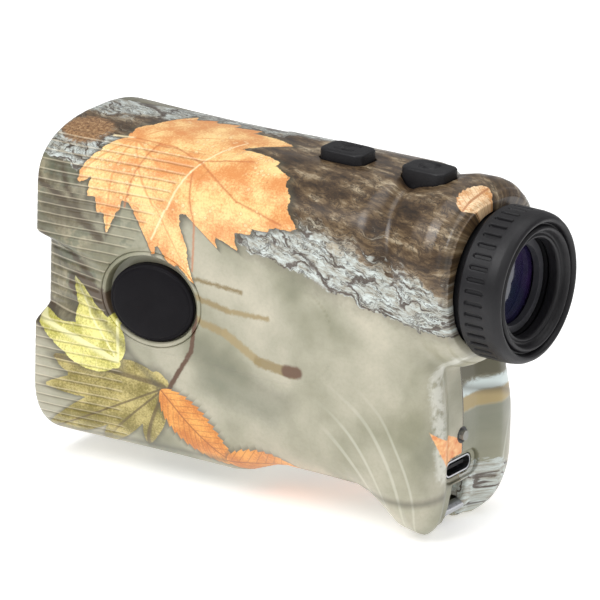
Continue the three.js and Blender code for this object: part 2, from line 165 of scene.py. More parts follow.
def side_height(v):
    """Height up whichever side the wrap distance v is on."""
    return np.where(v > CREST, 2 * CREST - v, v)


def ribbed(y, v):
    """1 on the grooved front of both sides, 0 elsewhere."""
    height = side_height(v)
    edge = np.interp(height, RIB_EDGE_V, RIB_EDGE_Y)
    return ramp(y, edge, edge + 0.9) * (1 - ramp(height, 19.5, 20.5)) * ramp(height, -45, -44)


def ribs(y, v):
    """Depth of the fine grooves, which fade out at the front edge."""
    height = side_height(v)
    wave = 0.5 + 0.5 * np.cos(2 * math.pi * height / RIB_PITCH)
    return RIB_DEPTH * ribbed(y, v) * wave ** 6 * (1 - 0.8 * ramp(y, FRONT - 3, FRONT))


def skin_relief(y, v, z):
    """The step in front of the grip and the raised panel, positive outwards."""
    height = side_height(v)
    edge = np.interp(height, RIB_EDGE_V, RIB_EDGE_Y) - STEP_BACK
    step = 0.22 * (1 - ramp(y, edge - 0.25, edge + 0.25)) * ramp(height, -6, -3)
    panel = 0.24 * ramp(panel_distance(y, z), -0.25, 0.25) * (1 - ramp(height, -5, 0))
    return np.maximum(step, panel)


def section(x, y, z):
    """The body without its ends: an arch over straight sides, rounded at the foot. Negative inside."""
    half = np.interp(y, STATION_Y, HALF)
    spring = np.interp(y, STATION_Y, TOP) - ARCH
    low = np.interp(y, STATION_Y, LOW)
    scoop = np.clip((y - SCOOP_START) / (FRONT - SCOOP_START), 0, 1)
    flat_half = 3.2 + 3.4 * scoop
    waist = SCOOP_DEPTH * scoop * (1 - ramp(np.abs(z - DISC_Z), flat_half, flat_half + 3.2))
    grip = GRIP_DEPTH * (1 - ramp(y, 12, 33)) * bump(z, -20.0, 14.0)
    side = half - waist - grip
    ax = np.abs(x)
    up = np.maximum(z - spring, 0)
    n = ARCH_POWER
    power = np.maximum(ax / side, 1e-4) ** n + (up / ARCH) ** n
    q = power ** (1 / n)
    slope = np.hypot(np.maximum(ax / side, 1e-4) ** (n - 1) / side,
                     (up / ARCH) ** (n - 1) / ARCH) * np.maximum(power, 1e-4) ** (1 / n - 1)
    arch = (q - 1) / np.maximum(slope, 0.03)
    reach = side - FLAT
    out = np.maximum(ax - FLAT, 0)
    down = np.maximum(low + CORNER - z, 0)
    q = np.hypot(out / reach, down / CORNER)
    slope = np.sqrt((out / reach ** 2) ** 2 + (down / CORNER ** 2) ** 2) / np.maximum(q, 0.05)
    base = (q - 1) / np.maximum(slope, 0.03)
    return np.maximum(arch, base)


def outside(x, y, z):
    """Negative inside the housing's outer form, in mm."""
    ax = np.abs(x)
    body = section(x, y, z)
    valley = 2.6 * (1 - ramp(ax, 4.6, 10.6)) * (1 - ramp(z, -17, -12))
    rear = 12.2 + valley + 0.036 * np.maximum(ax - 9.5, 0) ** 2 + 0.016 * np.maximum(-z - 40, 0) ** 2
    rear = rear + 0.006 * np.maximum(z + 33, 0) ** 2
    body = smooth_max(body, rear - y, 2.6)
    radius = np.interp(y, [9.6, 9.9, 10.3, 10.7, 11.1, 11.5, 12.6, 14.5, 18, 24, 34],
                       [15.6, 16.3, 16.8, 16.75, 17.0, 17.4, 18.0, 18.3, 18.2, 16.8, 11.5])
    around = np.where(z > 0, (ax ** 2.6 + np.maximum(z, 0) ** 2.6 + 1e-9) ** (1 / 2.6), np.hypot(x, z))
    barrel = np.maximum(around - radius, 9.6 - y)
    return smooth_min(body, barrel, 1.6)


def slab(value, low, high):
    """Negative between low and high."""
    return np.maximum(low - value, value - high)


def housing_field(x, y, z):
    """The hollow housing with its openings, negative in the material."""
    shape = outside(x, y, z)
    v = wrap_height(x, y, z)
    sides = ramp(np.abs(x), 3, 6)
    skin = shape + (ribs(y, v) - skin_relief(y, v, z)) * sides
    skin = smooth_max(skin, y - FRONT, 0.9)
    hollow = shape + WALL
    shell = np.maximum(skin, -hollow)
    shell = np.maximum(shell, -np.maximum(np.hypot(x, z) - NECK_BORE, y - 32))
    pocket = np.maximum(disc_distance(y, z) - (POCKET_R + 0.9), 16.2 - np.abs(x))
    backing = np.maximum(disc_distance(y, z) - 12.0, slab(np.abs(x), 14.6, 16.2))
    shell = np.maximum(np.minimum(shell, backing), -pocket)
    for y0 in (MODE_Y, POWER_Y):
        nose = (np.abs(x) + np.abs(y - y0)) - (BUTTON_HALF + BUTTON_END - BUTTON_NOSE) - 0.2
        edges = np.maximum(np.abs(x) - (BUTTON_HALF + BUTTON_GAP), np.abs(y - y0) - (BUTTON_END + BUTTON_GAP))
        opening = np.maximum(edges, nose * 0.707)
        shell = np.maximum(shell, -np.maximum(opening, 12 - z))
    port = np.hypot(np.maximum(np.abs(x) - 3.4, 0), z - PORT_Z) - 2.6
    shell = np.maximum(shell, -np.maximum(port, y - CUT_DEPTH_Y))
    lamp = np.hypot(x, z - LAMP_Z) - 1.45
    shell = np.maximum(shell, -np.maximum(lamp, y - CUT_DEPTH_Y))
    roof = np.maximum(np.maximum(np.abs(x) - 7, slab(z, -47.5, -41.6)), slab(y, 15.5, 25.0))
    wall = np.maximum(np.maximum(np.abs(x) - 7, slab(z, -53, -42)), slab(y, 21.4, 25.0))
    shell = np.minimum(shell, np.maximum(np.minimum(roof, wall), shape + 0.3))
    notch = np.maximum(np.maximum(np.abs(x) - NOTCH_HALF, z - NOTCH_TOP), y - NOTCH_END_Y)
    shell = smooth_max(shell, -notch, 0.8)
    return shell


def surface_net(field_of, low, high, step):
    """A closed quad mesh of the zero surface of a field sampled on a grid: points and quads."""
    axes = [np.arange(a, b + s, s) for a, b, s in zip(low, high, step)]
    grid = np.meshgrid(*axes, indexing="ij")
    field = field_of(*grid).astype(np.float32)
    inside = field < 0
    cells = tuple(n - 1 for n in field.shape)
    total = np.zeros(cells + (3,), np.float32)
    count = np.zeros(cells, np.int32)
    crossings = []
    for axis in range(3):
        others = [a for a in range(3) if a != axis]
        here = [slice(None)] * 3
        there = [slice(None)] * 3
        here[axis], there[axis] = slice(0, -1), slice(1, None)
        a, b = field[tuple(here)], field[tuple(there)]
        cross = inside[tuple(here)] != inside[tuple(there)]
        t = np.where(cross, a / np.where(cross, a - b, 1), 0)
        crossings.append((axis, others, cross, inside[tuple(here)]))
        for d0 in (0, 1):
            for d1 in (0, 1):
                cut = [slice(None)] * 3
                cut[others[0]] = slice(d0, d0 + cells[others[0]])
                cut[others[1]] = slice(d1, d1 + cells[others[1]])
                hit = cross[tuple(cut)]
                total[..., axis] += t[tuple(cut)]
                total[..., others[0]] += hit * d0
                total[..., others[1]] += hit * d1
                count += hit
    used = count > 0
    index = np.full(cells, -1, np.int64)
    index[used] = np.arange(int(used.sum()))
    where = np.argwhere(used)
    points = where + total[used] / count[used][:, None]
    points = np.array(low) + points * np.array(step)
    quads = []
    for axis, others, cross, first_inside in crossings:
        trimmed = [slice(None)] * 3
        for other in others:
            trimmed[other] = slice(1, -1)
        hit = np.argwhere(cross[tuple(trimmed)])
        sign = first_inside[tuple(trimmed)][cross[tuple(trimmed)]]
        corner = []
        for d0, d1 in ((0, 0), (1, 0), (1, 1), (0, 1)):
            at = hit.copy()
            at[:, others[0]] += d0
            at[:, others[1]] += d1
            corner.append(index[at[:, 0], at[:, 1], at[:, 2]])
        quad = np.stack(corner, axis=1)
        flip = sign if axis != 1 else ~sign
        quad[~flip] = quad[~flip][:, ::-1]
        quads.append(quad)
    return points, np.concatenate(quads)


def mesh_object(name, points, faces, body, material):
    """A piece on a body, from points in the eyepiece frame."""
    mesh = bpy.data.meshes.new(name)
    scaled = (np.asarray(points, float) + SHIFT) * MM
    mesh.from_pydata(scaled.tolist(), [], [list(map(int, f)) for f in faces])
    mesh.validate()
    obj = bpy.data.objects.new(name, mesh)
    bpy.context.scene.collection.objects.link(obj)
    mesh.shade_smooth()
    mesh.materials.append(material)
    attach(obj, body)
    return obj


def field_normals(field_of, points, reach=0.22):
    """The field's direction at each point, smoother than the normals of the faces."""
    normal = np.zeros_like(points)
    for axis in range(3):
        offset = np.zeros(3)
        offset[axis] = reach
        ahead, behind = (points + offset).T, (points - offset).T
        normal[:, axis] = field_of(*ahead) - field_of(*behind)
    return normal / np.maximum(np.linalg.norm(normal, axis=1), 1e-9)[:, None]


# ---------------- shader tools
def tone(r, g, b):
    """A display colour of 0 to 255 as the linear colour that a shader takes."""
    linear = [(c / 255) / 12.92 if c < 10 else ((c / 255 + 0.055) / 1.055) ** 2.4 for c in (r, g, b)]
    return (*linear, 1.0)


class Shader:
    """A material whose nodes are written as calls."""

    def __init__(self, name, **surface):
        self.material = bpy.data.materials.new(name)
        self.material.use_nodes = True
        self.tree = self.material.node_tree
        self.tree.nodes.clear()
        self.surface = self.node("ShaderNodeBsdfPrincipled")
        out = self.node("ShaderNodeOutputMaterial")
        self.tree.links.new(self.surface.outputs[0], out.inputs["Surface"])
        for key, value in surface.items():
            self.surface.inputs[key.replace("_", " ")].default_value = value

    def node(self, kind, **settings):
        made = self.tree.nodes.new(kind)
        for key, value in settings.items():
            setattr(made, key, value)
        return made

    def feed(self, socket, value):
        if isinstance(value, bpy.types.NodeSocket):
            self.tree.links.new(value, socket)
        elif value is not None:
            socket.default_value = value

    def math(self, operation, a, b=None, c=None):
        made = self.node("ShaderNodeMath", operation=operation)
        for socket, value in zip(made.inputs, (a, b, c)):
            self.feed(socket, value)
        return made.outputs[0]

    def add(self, a, b): return self.math("ADD", a, b)
    def sub(self, a, b): return self.math("SUBTRACT", a, b)
    def mul(self, a, b): return self.math("MULTIPLY", a, b)

    def abs(self, a): return self.math("ABSOLUTE", a)

    def radius(self, along, across, squash=1.0):
        """Distance from a local origin; a squash under 1 stretches it across."""
        return self.math("SQRT", self.add(self.mul(along, along), self.mul(self.mul(across, across), squash)))

    def step(self, value, low, high):
        """0 below low, 1 above high, smooth between; low may be the larger."""
        made = self.node("ShaderNodeMapRange", interpolation_type="SMOOTHSTEP")
        for socket, fed in zip(made.inputs, (value, low, high, 0.0, 1.0)):
            self.feed(socket, fed)
        return made.outputs[0]

    def point(self, x, y, z=0.0):
        made = self.node("ShaderNodeCombineXYZ")
        for socket, value in zip(made.inputs, (x, y, z)):
            self.feed(socket, value)
        return made.outputs[0]

    def noise(self, vector, scale, detail=3.0, roughness=0.55, distortion=0.0):
        made = self.node("ShaderNodeTexNoise")
        self.feed(made.inputs["Vector"], vector)
        settings = {"Scale": scale, "Detail": detail, "Roughness": roughness, "Distortion": distortion}
        for key, value in settings.items():
            made.inputs[key].default_value = value
        return made.outputs[0]

    def cells(self, vector, scale, feature="F1"):
        made = self.node("ShaderNodeTexVoronoi", feature=feature)
        self.feed(made.inputs["Vector"], vector)
        made.inputs["Scale"].default_value = scale
        return made.outputs["Distance"]

    def mix(self, factor, a, b):
        made = self.node("ShaderNodeMix", data_type="RGBA")
        self.feed(made.inputs[0], factor)
        self.feed(made.inputs[6], a)
        self.feed(made.inputs[7], b)
        return made.outputs[2]

    def blend(self, factor, stops):
        made = self.node("ShaderNodeValToRGB")
        self.feed(made.inputs[0], factor)
        elements = made.color_ramp.elements
        while len(elements) < len(stops):
            elements.new(0.5)
        for element, (at, colour) in zip(elements, stops):
            element.position, element.color = at, colour
        return made.outputs[0]

    def curve(self, factor, points):
        made = self.node("ShaderNodeFloatCurve")
        line = made.mapping.curves[0]
        line.points[0].location, line.points[1].location = points[0], points[-1]
        for x, y in points[1:-1]:
            line.points.new(x, y)
        for knot in line.points:
            knot.handle_type = "VECTOR"
        made.mapping.update()
        self.feed(made.inputs["Value"], factor)
        return made.outputs[0]

    def bump(self, height, distance, strength=1.0):
        made = self.node("ShaderNodeBump")
        made.inputs["Strength"].default_value = strength
        made.inputs["Distance"].default_value = distance
        self.feed(made.inputs["Height"], height)
        self.feed(self.surface.inputs["Normal"], made.outputs[0])

    def object_point(self):
        return self.node("ShaderNodeTexCoord").outputs["Object"]


def moulded(name, colour, lighter, roughness, grain=2600, depth=0.00004, **surface):
    """Moulded plastic or rubber: fine grain, faint cloudiness and uneven sheen."""
    s = Shader(name, **surface)
    at = s.object_point()
    cloud = s.noise(at, 160, 4)
    fine = s.noise(at, grain, 2)
    s.feed(s.surface.inputs["Base Color"], s.blend(cloud, [(0.3, colour), (0.7, lighter)]))
    s.feed(s.surface.inputs["Roughness"], s.math("MULTIPLY_ADD", s.noise(at, 420, 5), 0.22, roughness - 0.11))
    s.bump(fine, depth)
    return s.material


# ---------------- printed film
def heading(theta):
    """Degrees as a place along a curve node, which runs from 0 to 1."""
    return theta / 360 + 0.5


class Print(Shader):
    """The printed pattern, in mm on the wrap: u forwards, v up the left side and over the top."""

    def __init__(self, name):
        super().__init__(name)
        wrap = self.node("ShaderNodeAttribute", attribute_name="wrap")
        parts = self.node("ShaderNodeSeparateXYZ")
        self.feed(parts.inputs[0], wrap.outputs["Vector"])
        self.u, self.v, self.ribbed = parts.outputs
        self.at = self.point(self.u, self.v)
        self.jitter = self.sub(self.noise(self.at, 0.9, 5, 0.7), 0.5)
        self.wide = self.sub(self.noise(self.at, 0.16, 3), 0.5)
        self.grain = self.noise(self.at, 2.2, 6, 0.7)

    def local(self, u0, v0, turn=0.0):
        """Distances along and across a line through (u0, v0), turned by degrees."""
        a = math.radians(turn)
        du, dv = self.sub(self.u, u0), self.sub(self.v, v0)
        along = self.add(self.mul(du, math.cos(a)), self.mul(dv, math.sin(a)))
        across = self.sub(self.mul(dv, math.cos(a)), self.mul(du, math.sin(a)))
        return along, across

    def stroke(self, start, end, width, soft=0.3, rough=0.8, taper=0.0):
        """A line from one point to another, 1 on it."""
        length = math.hypot(end[0] - start[0], end[1] - start[1])
        turn = math.degrees(math.atan2(end[1] - start[1], end[0] - start[0]))
        along, across = self.local(*start, turn)
        wave = self.mul(self.jitter, rough)
        beyond = self.math("MAXIMUM", self.mul(along, -1), self.sub(along, length))
        beyond = self.math("MAXIMUM", beyond, 0)
        gap = self.math("SQRT", self.add(self.math("POWER", beyond, 2),
                                         self.math("POWER", self.add(across, wave), 2)))
        reach = self.sub(width, self.mul(self.math("DIVIDE", along, length), taper))
        return self.step(self.sub(gap, reach), soft, -soft)

    def lobed_leaf(self, base, size, outline, veins, turn=0.0, teeth=1.3):
        """A leaf whose edge is a distance from its base for each heading. Returns mask, veins, depth."""
        along, across = self.local(*base, turn)
        theta = self.math("ARCTAN2", across, along)
        factor = self.math("MULTIPLY_ADD", theta, 1 / (2 * math.pi), 0.5)
        radius = self.radius(along, across)
        edge = self.mul(self.curve(factor, [(heading(t), r) for t, r in outline]), size)
        inside = self.sub(edge, self.add(radius, self.mul(self.jitter, teeth)))
        mask = self.step(inside, -0.12, 0.12)
        shade = self.step(inside, -2.6, 0.3)
        near = []
        for t in (-180, *veins, 180):
            near.append((t, 0.0 if t in veins else 0.5))
        marks = sorted(veins)
        for first, second in zip(marks, marks[1:]):
            near.append(((first + second) / 2, math.radians((second - first) / 2) / 1.6))
        spread = self.mul(self.curve(factor, [(heading(t), d) for t, d in sorted(set(near))]), 1.6)
        lateral = self.mul(spread, radius)
        rib = self.step(lateral, 0.34, 0.1)
        side = self.math("FRACT", self.mul(self.sub(radius, self.mul(lateral, 1.1)), 0.36))
        twig = self.mul(self.step(self.abs(self.sub(side, 0.5)), 0.045, 0.0), 0.5)
        return mask, self.math("MAXIMUM", rib, twig), shade

    def oval_leaf(self, base, length, half, turn):
        """A toothed leaf from its base to its tip. Returns mask, veins, depth."""
        along, across = self.local(*base, turn)
        t = self.math("DIVIDE", along, length)
        clear = self.math("MULTIPLY", self.math("MAXIMUM", t, 0), self.math("MAXIMUM", self.sub(1, t), 0))
        saw = self.math("FRACT", self.mul(along, 0.62))
        edge = self.mul(self.math("POWER", clear, 0.62), half * 2.36)
        edge = self.mul(edge, self.add(0.86, self.mul(saw, 0.17)))
        lateral = self.abs(across)
        inside = self.sub(edge, lateral)
        mask = self.mul(self.step(inside, -0.08, 0.1), self.step(clear, 0.0, 0.004))
        lines = self.math("FRACT", self.mul(self.sub(along, self.mul(lateral, 0.9)), 0.62))
        rib = self.math("MAXIMUM", self.step(lateral, 0.26, 0.08),
                        self.mul(self.step(self.abs(self.sub(lines, 0.5)), 0.12, 0.0), 0.7))
        return mask, rib, self.step(inside, -1.6, 0.3)

    def shades(self, factor, *stops):
        """A blend between display colours, each stop being (place, r, g, b)."""
        return self.blend(factor, [(at, tone(*rgb)) for at, *rgb in stops])

    def tint(self, under, mask, amount, shade):
        """Lays a share of a display colour over the colour so far."""
        return self.mix(self.mul(mask, amount), under, tone(*shade))

    def lay_leaf(self, under, leaf, colours, shadow=0.6):
        """Puts a leaf over the colour so far, with its soft shadow under it."""
        mask, rib, shade = leaf
        low, high, vein = [tone(*shade) for shade in colours]
        body = self.mix(self.step(self.add(self.grain, self.mul(self.wide, 1.2)), 0.28, 0.75), low, high)
        body = self.mix(self.mul(rib, 0.75), body, vein)
        under = self.mix(self.mul(shade, shadow), under, tone(70, 66, 52))
        return self.mix(mask, under, body)


# Outlines of the lobed leaves, as (heading in degrees, share of the size), and the headings of their veins.
OLIVE_LEAF = [
    (-180, 0.02), (-120, 0.08), (-95, 0.16), (-78, 0.3), (-66, 0.44), (-58, 0.28), (-50, 0.5), (-43, 0.7),
    (-38, 0.5), (-33, 0.8), (-28, 1.0), (-22, 0.7), (-17, 0.52), (-9, 0.78), (-4, 0.6), (5, 0.72),
    (12, 0.4), (22, 0.3), (40, 0.12), (90, 0.05), (180, 0.02),
]
OLIVE_VEINS = [-66, -43, -28, 4]
GREEN_LEAF = [
    (-180, 0.02), (-60, 0.1), (-30, 0.3), (0, 0.62), (12, 0.86), (20, 1.0), (27, 0.66), (34, 0.56),
    (44, 0.72), (53, 0.95), (62, 0.6), (74, 0.44), (86, 0.5), (96, 0.34), (115, 0.2), (140, 0.08),
    (180, 0.02),
]
GREEN_VEINS = [20, 53, 88]
MAPLE_LEAF = [
    (-180, 0.7), (-177, 0.8), (-174, 0.81), (-171, 0.88), (-168, 0.88), (-164, 0.98), (-161, 0.84),
    (-158.8, 0.84), (-156, 0.76), (-154, 0.78), (-151, 0.7), (-148, 0.73), (-146, 0.76), (-144, 0.64),
    (-142, 0.66), (-140.5, 0.68), (-139.3, 0.48), (-136, 0.47), (-132, 0.5), (-129, 0.6), (-126, 0.64),
    (-124, 0.755), (-121, 0.64), (-118, 0.64), (-115, 0.52), (-111.5, 0.58), (-109, 0.45), (-105, 0.33),
    (-100, 0.3), (-96, 0.36), (-92, 0.39), (-87, 0.48), (-84, 0.38), (-80, 0.4), (-75, 0.31), (-70, 0.34),
    (-64, 0.24), (-57, 0.3), (-50, 0.25), (-40, 0.15), (-20, 0.08), (0, 0.04), (40, 0.06), (60, 0.1),
    (86, 0.14), (95, 0.22), (104, 0.34), (110, 0.31), (118, 0.39), (122, 0.36), (130, 0.46), (134, 0.42),
    (142, 0.53), (146, 0.49), (155, 0.61), (161.6, 0.68), (166, 0.56), (171, 0.47), (174, 0.6),
    (177, 0.7), (180, 0.7),
]
MAPLE_VEINS = [-164, -147, -124, -87, -52, 120, 159]


def ground(s):
    """The soft ground that everything lies on."""
    at = s.at
    soft = s.noise(at, 0.055, 3, 0.5)
    colour = s.shades(soft, (0.3, 122, 122, 100), (0.42, 148, 146, 124), (0.54, 170, 166, 146),
                      (0.7, 192, 186, 166))
    fine = s.noise(at, 1.2, 6, 0.7)
    colour = s.tint(colour, s.step(fine, 0.35, 0.75), 0.16, (108, 108, 88))
    return colour


def undergrowth(s, colour):
    """Darker undergrowth at the front."""
    u, v, at = s.u, s.v, s.at
    thicket = s.mul(s.step(s.add(u, s.mul(s.wide, 26)), 82, 96), s.step(v, -30, -20))
    shade = s.shades(s.noise(s.point(u, s.mul(v, 0.6)), 0.22, 6, 0.7), (0.38, 66, 60, 40),
                     (0.5, 112, 104, 78), (0.64, 160, 152, 126))
    colour = s.mix(s.mul(thicket, 0.85), colour, shade)
    near_front = s.mul(s.step(u, 76, 84), s.step(v, -20, -14))
    moss_patch = s.mul(s.step(s.noise(at, 0.11, 4, 0.6), 0.5, 0.56), near_front)
    colour = s.tint(colour, moss_patch, 0.6, (92, 100, 82))
    for start, end, width in (((103, 9), (88, -3), 0.9), ((101, -4), (90, -12), 0.7), ((98, 14), (93, 2), 0.6)):
        colour = s.tint(colour, s.stroke(start, end, width, 0.6, 2.0), 0.85, (70, 56, 38))
    return colour


def flank_highlights_and_twigs(s, colour):
    """Soft shadows, pale arcs near the rear corners painted as highlights on the bulging flanks, and the thin
    twigs behind the disc.
    """
    colour = s.tint(colour, s.stroke((62, -27), (48, -31), 2.2, 4.6, 3.0), 0.6, (92, 98, 80))
    # Painted highlights: pale arcs on the bulge of the near flank, low at the rear.
    for bow, reach in ((0, 0.3), (2.6, 0.2), (5.8, 0.24), (8.2, 0.18)):
        along, across = s.local(46, -52)
        arc = s.radius(along, across, 0.8)
        line = s.step(s.abs(s.sub(arc, 22 + bow * 1.3)), reach + 0.25, reach - 0.1)
        behind = s.mul(s.step(along, -8, -18), s.step(across, 34, 18))
        colour = s.tint(colour, s.mul(line, behind), 0.28, (226, 226, 210))
    # Painted highlights: pale arcs on the bulge of the far flank, low at the rear.
    for bow in (0, 3.2, 6.0):
        along, across = s.local(22 + bow, 2 * CREST + 47)
        arc = s.radius(along, across, 0.5)
        line = s.step(s.abs(s.sub(arc, 15.5)), 0.45, 0.15)
        colour = s.tint(colour, line, 0.4, (218, 220, 204))
    # Soft shadows and the thin twigs behind the disc.
    colour = s.tint(colour, s.stroke((66, -21.5), (44, -27.5), 1.4, 3.4, 2.0), 0.55, (104, 104, 86))
    colour = s.tint(colour, s.stroke((101, -2), (90, 4), 2.5, 4.0, 4.0), 0.6, (88, 80, 62))
    for start, end, width, warm in (
            ((66, -7), (55, -7.4), 0.4, 96), ((66, -10.6), (58, -11.9), 0.6, 110),
            ((58, -11.9), (48.5, -11.4), 0.5, 120), ((66, -15.2), (58.5, -16.6), 0.8, 118),
            ((58.5, -16.6), (50.5, -20.6), 0.9, 126), ((50.5, -20.6), (42, -21.2), 1.0, 108)):
        twig = tone(warm + 30, warm + 12, warm - 30)
        colour = s.mix(s.mul(s.stroke(start, end, width, 0.35, 1.6), 0.9), colour, twig)
    colour = s.mix(s.stroke((43.6, -21), (41.2, -20.8), 1.25, 0.4, 0.8), colour, tone(98, 70, 48))
    return colour


def right_flank(s, colour):
    """The pale, ochre and dim bands of the right flank."""
    v = s.v
    height = s.sub(2 * CREST, v)
    right = s.step(v, CREST + 6, CREST + 12)
    pale = s.mul(right, s.mul(s.step(s.add(height, s.mul(s.jitter, 2.2)), -26.0, -25.2),
                              s.step(s.add(height, s.mul(s.jitter, 2.6)), -22.6, -23.4)))
    colour = s.mix(pale, colour, tone(214, 226, 224))
    ochre = s.mul(right, s.mul(s.step(s.add(height, s.mul(s.jitter, 1.6)), -29.0, -28.2),
                               s.step(height, -25.4, -26.0)))
    colour = s.tint(colour, ochre, 0.8, (170, 146, 88))
    dim = s.mul(right, s.step(s.add(height, s.mul(s.jitter, 3)), -24, -22))
    colour = s.mix(dim, colour, tone(88, 84, 60))
    fade = s.mul(right, s.mul(s.step(height, -42, -30), s.step(height, -28.4, -29.2)))
    colour = s.tint(colour, fade, 0.6, (104, 110, 94))
    return colour


def trunk_over_top(s, colour):
    """The trunk that lies over the top, and the knot at its end. Returns its lichen too."""
    u, v, at = s.u, s.v, s.at
    tilt = s.sub(s.mul(u, 0.235), 10.5)
    rise = s.add(s.sub(s.math("MINIMUM", v, s.sub(50, v)), tilt), s.mul(s.wide, 5))
    rise = s.add(rise, s.mul(s.jitter, 3.0))
    bark_at = s.point(s.add(s.mul(u, 0.34), s.mul(v, 0.08)), s.sub(v, s.mul(u, 0.235)))
    bent = s.point(s.add(s.mul(u, 0.3), s.mul(s.jitter, 1.3)),
                   s.add(s.sub(v, s.mul(u, 0.235)), s.mul(s.wide, 9)))
    crumb = s.noise(bark_at, 0.9, 9, 0.78)
    plate = s.noise(bent, 0.42, 6, 0.7)
    lichen = s.shades(crumb, (0.32, 110, 96, 78), (0.44, 160, 158, 146), (0.56, 196, 204, 200),
                      (0.7, 226, 232, 230))
    flake = s.cells(bent, 0.27, "DISTANCE_TO_EDGE")
    crack = s.mul(s.step(flake, 0.075, 0.025), s.step(s.noise(at, 0.2, 3), 0.4, 0.5))
    lichen = s.mix(s.mul(crack, 0.9), lichen, tone(66, 48, 36))
    dark = s.shades(s.noise(bark_at, 0.28, 12, 0.72), (0.36, 34, 24, 14), (0.46, 76, 58, 38),
                    (0.54, 112, 92, 66), (0.66, 186, 170, 142))
    moss = s.mul(s.step(s.add(s.noise(bent, 0.15, 8, 0.78), s.mul(rise, -0.014)), 0.36, 0.41), 0.8)
    dark = s.mix(moss, dark, s.shades(crumb, (0.35, 112, 96, 76), (0.55, 182, 174, 154)))
    trunk = s.mix(s.step(s.add(rise, s.mul(s.sub(plate, 0.5), 16)), 8.5, 11.0), lichen, dark)
    ridge = s.abs(s.sub(plate, 0.5))
    trunk = s.mix(s.mul(s.step(ridge, 0.03, 0.006), 0.8), trunk, tone(44, 32, 22))
    far = s.abs(s.sub(s.noise(bent, 0.95, 4, 0.6), 0.46))
    trunk = s.mix(s.mul(s.step(far, 0.02, 0.004), 0.28), trunk, tone(58, 44, 32))
    colour = s.tint(colour, s.step(rise, -3.5, 0.5), 0.45, (92, 88, 70))
    colour = s.mix(s.step(rise, -0.15, 0.15), colour, trunk)
    along, across = s.local(97, 21)
    knot = s.radius(along, across, 1.7)
    crumbs = s.shades(s.noise(at, 1.6, 8, 0.85), (0.4, 86, 58, 36), (0.52, 150, 112, 74), (0.66, 206, 176, 136))
    colour = s.mix(s.step(s.add(knot, s.mul(s.jitter, 5)), 6.2, 4.2), colour, crumbs)
    return colour, lichen


def low_leaves(s, colour):
    """Low branches and leaves at the front."""
    for start, end, width in (((94, -14), (86, -16.5), 2.6), ((103, -20.5), (86, -28.6), 1.9),
                              ((86, -28.6), (74, -31.2), 1.2)):
        colour = s.mix(s.stroke(start, end, width, 0.5, 2.4), colour, tone(84, 70, 54))
    leaf = s.lobed_leaf((72.5, -31), 36, OLIVE_LEAF, OLIVE_VEINS)
    colour = s.lay_leaf(colour, leaf, ((124, 112, 44), (196, 180, 116), (84, 66, 36)))
    leaf = s.lobed_leaf((83.5, -27.5), 20, GREEN_LEAF, GREEN_VEINS, teeth=1.0)
    colour = s.lay_leaf(colour, leaf, ((170, 164, 66), (240, 232, 146), (244, 240, 186)))
    for start, end in (((65.8, -14.8), (66.4, -22)), ((66.4, -22), (69.4, -27)), ((69.4, -27), (73, -33.5))):
        colour = s.mix(s.stroke(start, end, 0.5, 0.2, 0.7), colour, tone(88, 60, 38))
    leaf = s.oval_leaf((73.6, -31.6), 20.5, 4.7, -139)
    colour = s.lay_leaf(colour, leaf, ((200, 118, 44), (238, 170, 84), (150, 80, 34)))
    leaf = s.oval_leaf((60, -44.5), 15.5, 4.2, 178)
    colour = s.lay_leaf(colour, leaf, ((196, 118, 46), (234, 164, 82), (150, 80, 34)))
    return colour


def large_leaf(s, colour):
    """The large autumn leaf over the upper left side. Returns its mask too."""
    leaf = s.lobed_leaf((85.5, 20.5), 46.5, MAPLE_LEAF, MAPLE_VEINS, teeth=2.6)
    colour = s.lay_leaf(colour, leaf, ((218, 144, 82), (253, 216, 148), (222, 150, 88)), 0.85)
    for start, end in (((90.5, 20.4), (86, 20.8)), ((64, 27), (66.5, 21.5)), ((66.5, 21.5), (69.5, 15)),
                       ((69.5, 15), (72.4, 8)), ((72.4, 8), (76.4, -1))):
        colour = s.tint(colour, s.stroke(start, end, 0.2, 0.22, 0.5), 0.7, (255, 238, 192))
    for start, end in (((86, 20.8), (76, 20.2)), ((76, 20.2), (68.5, 17.5)), ((68.5, 17.5), (57, 11)),
                       ((57, 11), (46, 8.6)), ((69, 15), (66.4, 4)), ((66.4, 4), (66.6, -5.5)),
                       ((80, 20.4), (82.6, 4.5)), ((68.5, 18), (58, 20.5))):
        colour = s.tint(colour, s.stroke(start, end, 0.2, 0.22, 0.6), 0.7, (190, 108, 56))
    return colour, leaf[0]


